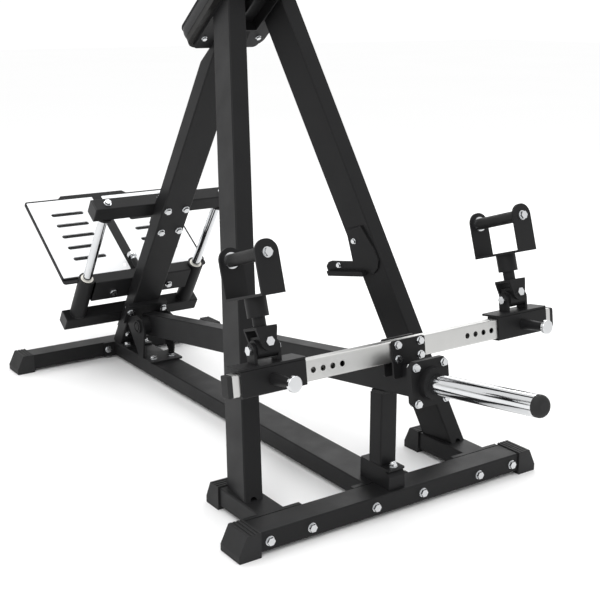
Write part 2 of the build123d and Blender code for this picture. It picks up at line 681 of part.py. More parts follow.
def guide_beam(centre_u, bolts_u):
    """Square beam behind the column, with bolted tabs above and below it."""
    start = Plane(column_point(-GUIDE_HALF, centre_u, GUIDE_V), x_dir=COLUMN_V_DIR, z_dir=ACROSS)
    low, high = min(bolts_u) - 14, max(max(bolts_u) + 14, centre_u)
    tab = slab(square_to_column(0, (low + high) / 2, COLUMN_REAR_V), 2 * TAB_REACH, high - low, TAB_T)
    with BuildPart() as beam:
        add(tab)
        with BuildSketch(start):
            RectangleRounded(GUIDE_S, GUIDE_S, TUBE_R)
        extrude(amount=2 * GUIDE_HALF)
        with BuildSketch(start):
            RectangleRounded(GUIDE_S - 2 * WALL, GUIDE_S - 2 * WALL, 1)
        extrude(amount=2 * GUIDE_HALF, mode=Mode.SUBTRACT)
        with BuildSketch(square_to_column(0, 0, COLUMN_REAR_V)):
            with Locations([(x, -u) for x in (-TAB_BOLT_X, TAB_BOLT_X) for u in bolts_u]):
                Circle(BOLT_HOLE_R)
        extrude(amount=TAB_T, mode=Mode.SUBTRACT)
        with BuildSketch(along_column(0, centre_u - GUIDE_S / 2, ROD_V)):
            with Locations((-ROD_X, 0), (ROD_X, 0)):
                Circle(BOLT_HOLE_R)
        extrude(amount=GUIDE_S, mode=Mode.SUBTRACT)
    return beam


export(guide_beam(UPPER_U, UPPER_BOLTS_U), "upper_guide_beam")
export(guide_beam(LOWER_U, LOWER_BOLTS_U), "lower_guide_beam")


def guide_cap(centre_u):
    """Plastic plug for the -X end of a guide beam."""
    end = Plane(column_point(-GUIDE_HALF, centre_u, GUIDE_V), x_dir=-COLUMN_V_DIR, z_dir=-ACROSS)
    with BuildPart() as cap:
        with BuildSketch(end):
            RectangleRounded(GUIDE_S, GUIDE_S, TUBE_R)
        extrude(amount=GUIDE_CAP_T)
        fillet(cap.edges().group_by(Axis.X)[0], 1.5)
        with BuildSketch(end):
            RectangleRounded(GUIDE_S - 2 * WALL, GUIDE_S - 2 * WALL, 1)
        extrude(amount=-GUIDE_CAP_PLUG)
    return cap.part


guide_caps = [guide_cap(UPPER_U), guide_cap(LOWER_U)]
group(guide_caps + [mirrored(cap) for cap in guide_caps], "guide_beam_caps")

with BuildPart() as guide_rod:
    with BuildSketch(along_column(-ROD_X, ROD_LOW, ROD_V)):
        Circle(ROD_R)
    extrude(amount=ROD_HIGH - ROD_LOW)
    with BuildSketch(along_column(-ROD_X, ROD_LOW, ROD_V)):
        Circle(BOLT_HOLE_R)
    extrude(amount=ROD_BOLT_DEPTH + 3, mode=Mode.SUBTRACT)
    with BuildSketch(along_column(-ROD_X, ROD_HIGH, ROD_V)):
        Circle(BOLT_HOLE_R)
    extrude(amount=-ROD_BOLT_DEPTH - 3, mode=Mode.SUBTRACT)
group([guide_rod.part, mirrored(guide_rod.part)], "guide_rods")

with BuildPart() as collar:
    with BuildSketch(along_column(-ROD_X, ROD_HIGH - COLLAR_LONG, ROD_V)):
        Circle(COLLAR_R)
        Circle(ROD_R, mode=Mode.SUBTRACT)
    extrude(amount=COLLAR_LONG)
group([collar.part, mirrored(collar.part)], "rod_collars")

with BuildPart() as buffer:
    with BuildSketch(along_column(-ROD_X, ROD_LOW, ROD_V)):
        Circle(BUFFER_R)
        Circle(ROD_R, mode=Mode.SUBTRACT)
    extrude(amount=BUFFER_T)
group([buffer.part, mirrored(buffer.part)], "rod_buffers")

# ---------------------------------------------------------------------- frame bolts
FLANGE_GRIP = FRONT_DEPTH + FLANGE_T
COLUMN_GRIP = COLUMN_D + TAB_T
frame_bolts = [bolt(facing_front(x, FRONT_Y, FLOOR_BOLT_Z), FLANGE_GRIP) for x in both_sides(FLANGE_BOLT_X)]
frame_bolts += [bolt(facing_front(x, REAR_Y - REAR_FLANGE_T, FLOOR_BOLT_Z), REAR_DEPTH + REAR_FLANGE_T)
                for x in both_sides([REAR_BOLT_X])]
frame_bolts += [bolt(Plane(column_point(x, u, COLUMN_FRONT_V), x_dir=ACROSS, z_dir=-COLUMN_V_DIR),
                     COLUMN_GRIP)
                for x, u in COLUMN_BOLTS]
frame_bolts += [bolt(Plane(column_point(x, u, WEB_FRONT_V), x_dir=ACROSS, z_dir=-COLUMN_V_DIR), WEB_T + LUG_T)
                for x, u in BRACKET_BOLTS]
frame_bolts += [bolt(Plane.XY.offset(BEAM_TOP + BRACKET_BASE_T).move(Location((x, y, 0))),
                     BEAM_H + BRACKET_BASE_T, nut=False) for x, y in BASE_BOLTS]
frame_bolts += [bolt(Plane.XY.offset(BEAM_TOP + BASE_PLATE_T).move(Location((x, y, 0))),
                     BEAM_H + BASE_PLATE_T, nut=False) for x, y in COLUMN_BASE_BOLTS]
rod_bolt_high = column_point(-ROD_X, UPPER_U + GUIDE_S / 2, ROD_V)
rod_bolt_low = column_point(-ROD_X, LOWER_U - GUIDE_S / 2, ROD_V)
rod_bolt_long = GUIDE_S + ROD_BOLT_DEPTH
rod_bolts = [bolt(Plane(rod_bolt_high, x_dir=ACROSS, z_dir=COLUMN_U_DIR), rod_bolt_long, nut=False),
             bolt(Plane(rod_bolt_low, x_dir=ACROSS, z_dir=-COLUMN_U_DIR), rod_bolt_long, nut=False)]
frame_bolts += rod_bolts + [mirrored(item) for item in rod_bolts]
frame_bolts.append(stop_stud.part)
frame_bolts.append(bolt(on_hook(HOOK_BOLT, HOOK_PLATE_T), LEG_W + HOOK_PLATE_T, size=M8))
frame_bolts.append(bolt(on_hook(HOOK_TIP_BOLT, HOOK_PLATE_T), HOOK_PLATE_T, size=M8))
group(frame_bolts, "frame_bolts")


# --------------------------------------------------------------------- storage hook
HOOK_LIP = 16.0           # depth of the folded lip under the hook's arm
HOOK_LIP_H = 14.0
HOOK_OUTLINE = [(36, -86), (-26, -83), (-44, -10), (-44, 22), (-30, 42), (-8, 52), (20, 51), (165, 19),
                (178, 8), (176, -9), (160, -18), (148, -18), (58, 3)]
HOOK_FOLD = [(20, 51), (165, 19), (165, 19 - HOOK_LIP_H), (20, 51 - HOOK_LIP_H)]
with BuildPart() as storage_hook:
    with BuildSketch(hook_face):
        with BuildLine():
            Polyline(*HOOK_OUTLINE, close=True)
        make_face()
        with Locations(HOOK_BOLT, HOOK_TIP_BOLT):
            Circle(HOOK_HOLE_R, mode=Mode.SUBTRACT)
    extrude(amount=HOOK_PLATE_T)
    with BuildSketch(hook_face.offset(HOOK_PLATE_T)):
        with BuildLine():
            Polyline(*HOOK_FOLD, close=True)
        make_face()
    extrude(amount=HOOK_LIP)
export(storage_hook, "storage_hook")

# ------------------------------------------------------------------------ chest pad
SUPPORT_HALF = 104.0
SUPPORT_LONG = 300.0
SUPPORT_START = 12.0
RAIL_HALF = 38.0
RAIL_DEEP = 30.0
RAIL_START = 130.0
RAIL_END = 300.0
PAD_BOLT_X = 88.0
PAD_BOLT_ALONG = (60.0, 297.0)
PAD_BOLTS = [(x, a) for x in (-PAD_BOLT_X, PAD_BOLT_X) for a in PAD_BOLT_ALONG]
support_middle = -(SUPPORT_START + SUPPORT_LONG / 2)
with BuildPart() as pad_support:
    with BuildSketch(on_pad(0, 0, PLATE_UNDER)):
        with Locations((0, support_middle)):
            RectangleRounded(2 * SUPPORT_HALF, SUPPORT_LONG, 14)
        with Locations([(x, -a) for x, a in PAD_BOLTS]):
            Circle(BOLT_HOLE_R * 0.7, mode=Mode.SUBTRACT)
    extrude(amount=PLATE_T)
    with BuildSketch(on_pad(0, 0, PLATE_UNDER - RAIL_DEEP)):
        with Locations((0, -(RAIL_START + RAIL_END) / 2)):
            RectangleRounded(2 * RAIL_HALF, RAIL_END - RAIL_START, 4)
            RectangleRounded(2 * RAIL_HALF - 10, RAIL_END - RAIL_START - 10, 3, mode=Mode.SUBTRACT)
    extrude(amount=RAIL_DEEP)
export(pad_support, "pad_support")

with BuildPart() as pad_board:
    with BuildSketch(on_pad(0, 0, 0)):
        with Locations((0, -PAD_LENGTH / 2)):
            RectangleRounded(2 * PAD_HALF - 8, PAD_LENGTH - 8, PAD_CORNER - 4)
        with Locations([(x, -a) for x, a in PAD_BOLTS]):
            Circle(BOLT_HOLE_R * 0.7, mode=Mode.SUBTRACT)
    extrude(amount=BOARD_T)
export(pad_board, "pad_board")

PAD_ROUND = 14.0
with BuildPart() as chest_pad:
    with BuildSketch(on_pad(0, 0, BOARD_T)):
        with Locations((0, -PAD_LENGTH / 2)):
            RectangleRounded(2 * PAD_HALF, PAD_LENGTH, PAD_CORNER)
    extrude(amount=FOAM_T)
    fillet(chest_pad.edges().group_by(Axis(on_pad(0, 0, 0).origin, PAD_NORMAL))[-1], PAD_ROUND)
export(chest_pad, "chest_pad")

pad_bolt_planes = [Plane(pad_point(x, a, PLATE_UNDER), x_dir=ACROSS, z_dir=-PAD_NORMAL) for x, a in PAD_BOLTS]
group([bolt(plane, BOARD_T + PLATE_T - 4, size=8.0, nut=False) for plane in pad_bolt_planes], "pad_bolts")

# ----------------------------------------------------------------- sliding platform
CARRIAGE_V = COLUMN_REAR_V + 3.0
CARRIAGE_D = 44.0
CARRIAGE_HALF = 180.0
BUSH_R = 21.0
BUSH_LONG = 38.0
RUNNING = 0.05            # radial clearance of sliding and turning fits
CARRIAGE_BOLT_X = 105.0
CARRIAGE_BOLT_U = -570.0
LOCK_TUBE_R = 10.5
LOCK_TUBE_END = 1418.0
LOCK_BORE = LOCK_PIN_R + RUNNING
KNOB_R = 15.5
KNOB_V = 1432.0
KNOB_T = 16.0
beam_mid_u = (PLATFORM_BEAM_LOW + PLATFORM_BEAM_HIGH) / 2
beam_tall = PLATFORM_BEAM_HIGH - PLATFORM_BEAM_LOW
carriage_start = Plane(column_point(-CARRIAGE_HALF, beam_mid_u, CARRIAGE_V + CARRIAGE_D / 2),
                       x_dir=COLUMN_V_DIR, z_dir=ACROSS)
carriage_shell = tube(carriage_start, CARRIAGE_D, beam_tall, 2 * CARRIAGE_HALF)


def housing(bore):
    """Solid of the left bearing housing's outside or bore."""
    return rod(along_column(-ROD_X, HOUSING_LOW, ROD_V), bore, HOUSING_HIGH - HOUSING_LOW)


outer_housing = housing(HOUSING_R)
inner_housing = housing(BUSH_R)
with BuildPart() as platform_carriage:
    add(carriage_shell)
    add(outer_housing)
    add(mirrored(outer_housing))
    add(inner_housing, mode=Mode.SUBTRACT)
    add(mirrored(inner_housing), mode=Mode.SUBTRACT)
    with BuildSketch(square_to_column(0, LOCK_U, CARRIAGE_V)):
        Circle(LOCK_TUBE_R)
    extrude(amount=LOCK_TUBE_END - CARRIAGE_V)
    with BuildSketch(square_to_column(0, LOCK_U, CARRIAGE_V)):
        Circle(LOCK_BORE)
    extrude(amount=LOCK_TUBE_END - CARRIAGE_V, mode=Mode.SUBTRACT)
    with BuildSketch(square_to_column(0, CARRIAGE_BOLT_U, CARRIAGE_V)):
        with Locations((-CARRIAGE_BOLT_X, 0), (CARRIAGE_BOLT_X, 0)):
            Circle(BOLT_HOLE_R)
    extrude(amount=CARRIAGE_D, mode=Mode.SUBTRACT)
export(platform_carriage, "platform_carriage")

with BuildPart() as bush:
    with BuildSketch(along_column(-ROD_X, HOUSING_LOW, ROD_V)):
        Circle(BUSH_R)
        Circle(ROD_R + RUNNING, mode=Mode.SUBTRACT)
    extrude(amount=BUSH_LONG)
high_bush = bush.part.moved(Location(COLUMN_U_DIR * (HOUSING_HIGH - HOUSING_LOW - BUSH_LONG)))
group([bush.part, high_bush, mirrored(bush.part), mirrored(high_bush)], "platform_bushes")

with BuildPart() as lock_pin:
    with BuildSketch(square_to_column(0, LOCK_U, COLUMN_REAR_V + 1)):
        Circle(LOCK_PIN_R)
    extrude(amount=KNOB_V - COLUMN_REAR_V - 1)
    with BuildSketch(square_to_column(0, LOCK_U, KNOB_V)):
        Circle(KNOB_R)
    extrude(amount=KNOB_T)
    fillet(lock_pin.edges().group_by(Axis(column_point(0, LOCK_U, 0), COLUMN_V_DIR))[-1], 4)
export(lock_pin, "lock_pin")

# tread frame: a tray behind the carriage with a bolted flange, two ribs and a rear lip
TRAY_HALF = 272.0
TRAY_T = 5.0
TRAY_TOP = TREAD_U - TREAD_T
TRAY_FRONT = CARRIAGE_V + CARRIAGE_D
TRAY_REAR = 1769.0
RIM = 6.0
STRIP_HALF = 18.0
FLANGE_HALF = 140.0
FRAME_FLANGE_T = 8.0
RIB_X = 132.0
RIB_T = 8.0
RIB_END = 1700.0
LIP_BASE = 147.0
LIP_TOP = 121.0
LIP_REAR = 1803.0
LIP_T = 8.0
LIP_U = -568.0
SLOT_INNER = 79.0
SLOT_OUTER = 200.0
SLOT_W = 17.0
SLOT_VS = (1472.0, 1526.0, 1581.0, 1636.0, 1690.0)
SCREW_XS = (32.0, 246.0)
SCREW_VS = (1416.0, 1584.0, 1750.0)
SCREW_R = 5.5
SCREW_HEAD_T = 2.2        # the heads sit flush in the treads
tray_mid = (TRAY_FRONT + TRAY_REAR) / 2
tread_mid = (TREAD_FRONT + TREAD_REAR) / 2
tread_wide = TREAD_HALF - STRIP_HALF
tread_x = (TREAD_HALF + STRIP_HALF) / 2
slot_x = (SLOT_INNER + SLOT_OUTER) / 2
SLOTS = [(slot_x, v) for v in SLOT_VS]
SCREWS = [(x, v) for x in SCREW_XS for v in SCREW_VS]


def across_tray(u):
    """Plane parallel to the treads; local x is across, local y is v."""
    return along_column(0, u, 0)


def on_both_sides(points):
    """Points and their mirror images."""
    return [(side * x, y) for side in (-1, 1) for x, y in points]


with BuildPart() as platform_frame:
    with BuildSketch(across_tray(TRAY_TOP - TRAY_T)):
        with Locations((0, tray_mid)):
            RectangleRounded(2 * TRAY_HALF, TRAY_REAR - TRAY_FRONT, 10)
        with Locations((-ROD_X, ROD_V), (ROD_X, ROD_V)):
            Circle(HOUSING_R + 1, mode=Mode.SUBTRACT)
        with Locations(on_both_sides(SCREWS)):
            Circle(SCREW_R * 0.5 + 0.3, mode=Mode.SUBTRACT)
    extrude(amount=TRAY_T)
    with BuildSketch(across_tray(TRAY_TOP)):
        with Locations((0, tread_mid)):
            RectangleRounded(2 * TRAY_HALF, TRAY_REAR - TREAD_FRONT + RIM, 10)
        with Locations((-tread_x, tread_mid), (tread_x, tread_mid)):
            Rectangle(tread_wide + 0.6, TREAD_REAR - TREAD_FRONT + 0.6, mode=Mode.SUBTRACT)
        with Locations((0, KNOB_V)):
            Rectangle(2 * KNOB_R + 6, 60, mode=Mode.SUBTRACT)
    extrude(amount=TREAD_T + 0.5)
    with BuildSketch(square_to_column(0, 0, TRAY_FRONT)):
        with Locations((0, -(PLATFORM_BEAM_LOW + TRAY_TOP) / 2)):
            Rectangle(2 * FLANGE_HALF, TRAY_TOP - PLATFORM_BEAM_LOW)
        with Locations((-CARRIAGE_BOLT_X, -CARRIAGE_BOLT_U), (CARRIAGE_BOLT_X, -CARRIAGE_BOLT_U)):
            Circle(BOLT_HOLE_R, mode=Mode.SUBTRACT)
    extrude(amount=FRAME_FLANGE_T)
    with BuildSketch(column_side(-RIB_X - RIB_T / 2), column_side(RIB_X - RIB_T / 2)):
        with BuildLine():
            Polyline((TRAY_FRONT, PLATFORM_BEAM_LOW), (TRAY_FRONT + 20, PLATFORM_BEAM_LOW),
                     (RIB_END, TRAY_TOP - TRAY_T - 12), (RIB_END, TRAY_TOP - TRAY_T),
                     (TRAY_FRONT, TRAY_TOP - TRAY_T), close=True)
        make_face()
    extrude(amount=RIB_T)
    with BuildSketch(across_tray(LIP_U)):
        with BuildLine():
            Polyline((-LIP_BASE, TRAY_REAR - 20), (-LIP_BASE, TRAY_REAR + 8), (-LIP_TOP, LIP_REAR),
                     (LIP_TOP, LIP_REAR), (LIP_BASE, TRAY_REAR + 8), (LIP_BASE, TRAY_REAR - 20), close=True)
        make_face()
    extrude(amount=LIP_T)
    with BuildSketch(across_tray(LIP_U)):
        with Locations((0, TRAY_REAR - 10)):
            Rectangle(2 * LIP_BASE, 20)
    extrude(amount=TRAY_TOP - TRAY_T - LIP_U)
export(platform_frame, "platform_frame")

with BuildPart() as right_tread:
    with BuildSketch(across_tray(TRAY_TOP)):
        with Locations((tread_x, tread_mid)):
            RectangleRounded(tread_wide, TREAD_REAR - TREAD_FRONT, 4)
        with Locations(SLOTS):
            SlotOverall(SLOT_OUTER - SLOT_INNER, SLOT_W, mode=Mode.SUBTRACT)
        with Locations(SCREWS):
            Circle(SCREW_R * 0.5 + 0.3, mode=Mode.SUBTRACT)
    extrude(amount=TREAD_T)
    with BuildSketch(across_tray(TREAD_U)):
        with Locations(SCREWS):
            Circle(SCREW_R + 0.1)
    extrude(amount=-SCREW_HEAD_T, mode=Mode.SUBTRACT)
export(right_tread, "right_tread")
with BuildPart() as left_tread:
    add(mirrored(right_tread.part))
export(left_tread, "left_tread")

with BuildPart() as tread_screw:
    with BuildSketch(across_tray(TREAD_U)):
        Circle(SCREW_R)
    extrude(amount=-SCREW_HEAD_T)
    with BuildSketch(across_tray(TREAD_U)):
        Circle(SCREW_R * 0.5)
    extrude(amount=-TREAD_T - TRAY_T)
screws = [tread_screw.part.moved(Location(ACROSS * x + COLUMN_V_DIR * v)) for x, v in on_both_sides(SCREWS)]
group(screws, "tread_screws")

carriage_bolt_planes = [Plane(column_point(x, CARRIAGE_BOLT_U, CARRIAGE_V), x_dir=ACROSS, z_dir=-COLUMN_V_DIR)
                        for x in (-CARRIAGE_BOLT_X, CARRIAGE_BOLT_X)]
group([bolt(plane, CARRIAGE_D + FRAME_FLANGE_T) for plane in carriage_bolt_planes], "platform_bolts")

# ------------------------------------------------------------------------ lever arm
ARM_END = 87.0
ARM_TAIL = 34.0           # the arm runs this far past its pivot
END_PLATE_T = 8.0
END_HALF = 57.0
END_LOW = -54.0
END_HIGH = 57.0
END_CHAMFER = 14.0
END_BOLTS = [(x, h) for x in (-42.5, 42.5) for h in (-43.0, 43.2)]
SADDLE_T = BAR_H - BAR_TALL / 2 - ARM_H / 2
CLAMP_T = 6.0
CLAMP_HALF = 50.0
CLAMP_LOW = 8.0
CLAMP_HIGH = 99.0
CLAMP_BOLTS = [(x, h) for x in (-34.4, 34.4) for h in (54.0, 88.0)]
CLAMP_BACK_S = BAR_S - BAR_D / 2
CLAMP_FRONT_S = BAR_S + BAR_D / 2
M10 = 10.0
M10_HOLE_R = M10 / 2 + HOLE_CLEAR


arm_shell = tube(along_arm(0, PIVOT_S - ARM_TAIL, 0), ARM_W, ARM_H, ARM_END - PIVOT_S + ARM_TAIL)
hub_start = Plane(arm_point(-CHEEK_IN + BUSH_FLANGE_T + 0.5, PIVOT_S, 0), x_dir=-ARM_DIR, z_dir=ACROSS)
HUB_LONG = 2 * (CHEEK_IN - BUSH_FLANGE_T - 0.5)
with BuildPart() as clamp_back:
    with BuildSketch(along_arm(0, CLAMP_BACK_S - END_PLATE_T, 0)):
        with Locations((0, (CLAMP_LOW + CLAMP_HIGH) / 2)):
            RectangleRounded(2 * CLAMP_HALF, CLAMP_HIGH - CLAMP_LOW, 6)
        with Locations(CLAMP_BOLTS):
            Circle(M10_HOLE_R, mode=Mode.SUBTRACT)
        Rectangle(ARM_W - 1, ARM_H - 1, mode=Mode.SUBTRACT)
    extrude(amount=END_PLATE_T)
with BuildPart() as arm_plate:
    with BuildSketch(along_arm(0, ARM_END, 0)):
        with BuildLine():
            Polyline((-END_HALF, END_LOW + END_CHAMFER), (END_CHAMFER - END_HALF, END_LOW),
                     (END_HALF - END_CHAMFER, END_LOW), (END_HALF, END_LOW + END_CHAMFER),
                     (END_HALF, END_HIGH - END_CHAMFER), (END_HALF - END_CHAMFER, END_HIGH),
                     (END_CHAMFER - END_HALF, END_HIGH), (-END_HALF, END_HIGH - END_CHAMFER), close=True)
        make_face()
        with Locations(END_BOLTS):
            Circle(M10_HOLE_R, mode=Mode.SUBTRACT)
    extrude(amount=END_PLATE_T)
with BuildPart() as lever_arm:
    add(arm_shell)
    with BuildSketch(hub_start):
        Circle(HUB_R)
    extrude(amount=HUB_LONG)
    with BuildSketch(hub_start):
        Circle(HUB_BORE)
    extrude(amount=HUB_LONG, mode=Mode.SUBTRACT)
    add(clamp_back.part)
    add(arm_plate.part)
    with BuildSketch(above_arm(0, BAR_S, ARM_H / 2)):
        Rectangle(ARM_W, BAR_D)
    extrude(amount=SADDLE_T)
export(lever_arm, "lever_arm")

with BuildPart() as pivot_bush:
    with BuildSketch(hub_start):
        Circle(HUB_BORE)
        Circle(SHAFT_R + RUNNING, mode=Mode.SUBTRACT)
    extrude(amount=BUSH_LONG)
    with BuildSketch(hub_start):
        Circle(HUB_R - 4)
        Circle(SHAFT_R + RUNNING, mode=Mode.SUBTRACT)
    extrude(amount=-BUSH_FLANGE_T)
group([pivot_bush.part, mirrored(pivot_bush.part)], "pivot_bushes")

HORN_PLATE_S = ARM_END + END_PLATE_T
HORN_START = HORN_PLATE_S + END_PLATE_T
HORN_COLLAR_R = 38.0
HORN_COLLAR_T = 20.0
HORN_END = 443.0
HORN_WALL = 4.0
HORN_SPIGOT_R = 23.0      # turned down where it is welded into the collar
HORN_CAP_T = 19.0
HORN_CAP_ROUND = 14.0
HORN_CAP_PLUG = 18.0
with BuildPart() as horn_plate:
    with BuildSketch(along_arm(0, HORN_PLATE_S, 0)):
        with BuildLine():
            Polyline((-END_HALF, END_LOW + END_CHAMFER), (END_CHAMFER - END_HALF, END_LOW),
                     (END_HALF - END_CHAMFER, END_LOW), (END_HALF, END_LOW + END_CHAMFER),
                     (END_HALF, END_HIGH - END_CHAMFER), (END_HALF - END_CHAMFER, END_HIGH),
                     (END_CHAMFER - END_HALF, END_HIGH), (-END_HALF, END_HIGH - END_CHAMFER), close=True)
        make_face()
        with Locations(END_BOLTS):
            Circle(M10_HOLE_R, mode=Mode.SUBTRACT)
    extrude(amount=END_PLATE_T)
    with BuildSketch(along_arm(0, HORN_START, 0)):
        Circle(HORN_COLLAR_R)
        Circle(HORN_SPIGOT_R, mode=Mode.SUBTRACT)
    extrude(amount=HORN_COLLAR_T)
    chamfer(horn_plate.edges().filter_by(GeomType.CIRCLE).sort_by(Axis(arm_point(0, 0, 0), ARM_DIR))[-1], 2)
export(horn_plate, "horn_plate")

with BuildPart() as weight_horn:
    with BuildSketch(along_arm(0, HORN_START + HORN_COLLAR_T, 0)):
        Circle(HORN_R)
    extrude(amount=HORN_END - HORN_START - HORN_COLLAR_T)
    with BuildSketch(along_arm(0, HORN_START, 0)):
        Circle(HORN_SPIGOT_R)
    extrude(amount=HORN_COLLAR_T)
    with BuildSketch(along_arm(0, HORN_START, 0)):
        Circle(HORN_R - HORN_WALL)
    extrude(amount=HORN_END - HORN_START, mode=Mode.SUBTRACT)
export(weight_horn, "weight_horn")

with BuildPart() as horn_cap:
    with BuildSketch(along_arm(0, HORN_END, 0)):
        Circle(HORN_R)
    extrude(amount=HORN_CAP_T)
    fillet(horn_cap.edges().sort_by(Axis(arm_point(0, 0, 0), ARM_DIR))[-1], HORN_CAP_ROUND)
    with BuildSketch(along_arm(0, HORN_END, 0)):
        Circle(HORN_R - HORN_WALL)
    extrude(amount=-HORN_CAP_PLUG)
export(horn_cap, "horn_cap")

PIN_HOLE_R = 7.0
BAR_CAP_T = 12.0
BAR_HOLES = [(x, BAR_H) for x in both_sides([HOLE_FIRST + HOLE_STEP * index for index in range(HOLE_COUNT)])]
bar_start = Plane(arm_point(-BAR_HALF, BAR_S, BAR_H), x_dir=-ARM_DIR, z_dir=ACROSS)
bar_shell = tube(bar_start, BAR_D, BAR_TALL, 2 * BAR_HALF)
with BuildPart() as cross_bar:
    add(bar_shell)
    with BuildSketch(along_arm(0, CLAMP_BACK_S, 0)):
        with Locations(CLAMP_BOLTS):
            Circle(M10_HOLE_R)
    extrude(amount=BAR_D, mode=Mode.SUBTRACT)
    # the adjustment holes go through the bar's front wall only
    with BuildSketch(along_arm(0, BAR_S, 0)):
        with Locations(BAR_HOLES):
            Circle(PIN_HOLE_R)
    extrude(amount=BAR_D / 2, mode=Mode.SUBTRACT)
export(cross_bar, "cross_bar")

with BuildPart() as bar_cap:
    with BuildSketch(bar_start):
        RectangleRounded(BAR_D, BAR_TALL, TUBE_R)
    extrude(amount=-BAR_CAP_T)
    fillet(bar_cap.edges().group_by(Axis.X)[0], 2)
    with BuildSketch(bar_start):
        RectangleRounded(BAR_D - 2 * WALL, BAR_TALL - 2 * WALL, 1)
    extrude(amount=HORN_CAP_PLUG)
group([bar_cap.part, mirrored(bar_cap.part)], "cross_bar_caps")

with BuildPart() as clamp_plate:
    with BuildSketch(along_arm(0, CLAMP_FRONT_S, 0)):
        with Locations((0, (CLAMP_LOW + CLAMP_HIGH) / 2)):
            RectangleRounded(2 * CLAMP_HALF, CLAMP_HIGH - CLAMP_LOW, 6)
        with Locations(CLAMP_BOLTS):
            Circle(M10_HOLE_R, mode=Mode.SUBTRACT)
        Rectangle(ARM_W + 1, ARM_H + 1, mode=Mode.SUBTRACT)
    extrude(amount=CLAMP_T)
export(clamp_plate, "clamp_plate")

lever_bolts = [bolt(along_arm(x, CLAMP_FRONT_S + CLAMP_T, h), BAR_D + CLAMP_T + END_PLATE_T, size=M10)
               for x, h in CLAMP_BOLTS]
lever_bolts += [bolt(along_arm(x, HORN_START, h), 2 * END_PLATE_T, size=M10) for x, h in END_BOLTS]
group(lever_bolts, "lever_bolts")

# -------------------------------------------------------------------------- handles
SLEEVE_IN = 296.0
SLEEVE_OUT = 466.0
SLEEVE_D = 40.0
SLEEVE_TALL = 60.0
SLEEVE_GAP = 0.4
SLEEVE_TOP = BAR_H + SLEEVE_TALL / 2
SLEEVE_LID_T = 5.0
SLEEVE_LID_OVER = 5.0
LID_REAR_S = -30.0
LID_FRONT_S = 29.5
PIN_TUBE_R = 14.0
PIN_TUBE_TIP_R = 11.0
PIN_TUBE_END = 96.0
PULL_R = 6.0
PULL_DISC_R = 18.0
PULL_DISC_S = 106.0
PULL_DISC_T = 9.0
LUG_IN = 28.0             # inner face of the sleeve's two lugs, from the handle's middle
LUG_OUT = 35.0
LUG_R = 16.0
HINGE_S = -4.0
CROSS_PIN_R = 7.0
CROSS_HEAD_R = 11.0
CROSS_HEAD_T = 7.0
SWING_RISE = 14.0         # upper pin above the lower pin
SWING_PIN_R = 6.0
YOKE_IN = 22.5
YOKE_OUT = 28.0
YOKE_CHEEK_R = 20.5
YOKE_TOP = 48.0
YOKE_BRIDGE = 42.0      # underside of the yoke's top plate
YOKE_HALF = 27.0
NECK_R = 15.0
NECK_TOP = 69.7
BARREL_LOW = 70.0
BARREL_TOP = 114.0
BARREL_R = 25.0
SPINDLE_R = 10.0
SPINDLE_HEAD_R = 15.0
SPINDLE_HEAD_LOW = 100.5
SPINDLE_HEAD_T = 7.0
STRAP_T = 6.0
STRAP_W = 60.0
STIRRUP_HALF = 82.5
STIRRUP_TOP = 235.0
GRIP_R = 15.0
GRIP_BORE = 6.0
GRIP_WASHER_R = 19.0
GRIP_WASHER_T = 3.0
GRIP_GAP = 0.4
joint_point = arm_point(0, HINGE_S, JOINT_H)


def stem_at(height):
    """Plane across the right handle's stem; local y points to the front."""
    return Plane(joint_point + ACROSS * PIN_X + STEM_DIR * height, x_dir=-ACROSS, z_dir=STEM_DIR)


def stem_side(offset):
    """Plane seen along X through the right handle; local x is to the rear, local y is up the stem."""
    return Plane(joint_point + ACROSS * (PIN_X + offset), x_dir=-STEM_FRONT_DIR, z_dir=ACROSS)


def stem_front(offset, height=0.0):
    """Plane that faces the front of the right handle's stem; local y is up the stem."""
    spot = joint_point + ACROSS * PIN_X + STEM_DIR * height + STEM_FRONT_DIR * offset
    return Plane(spot, x_dir=ACROSS, z_dir=STEM_FRONT_DIR)


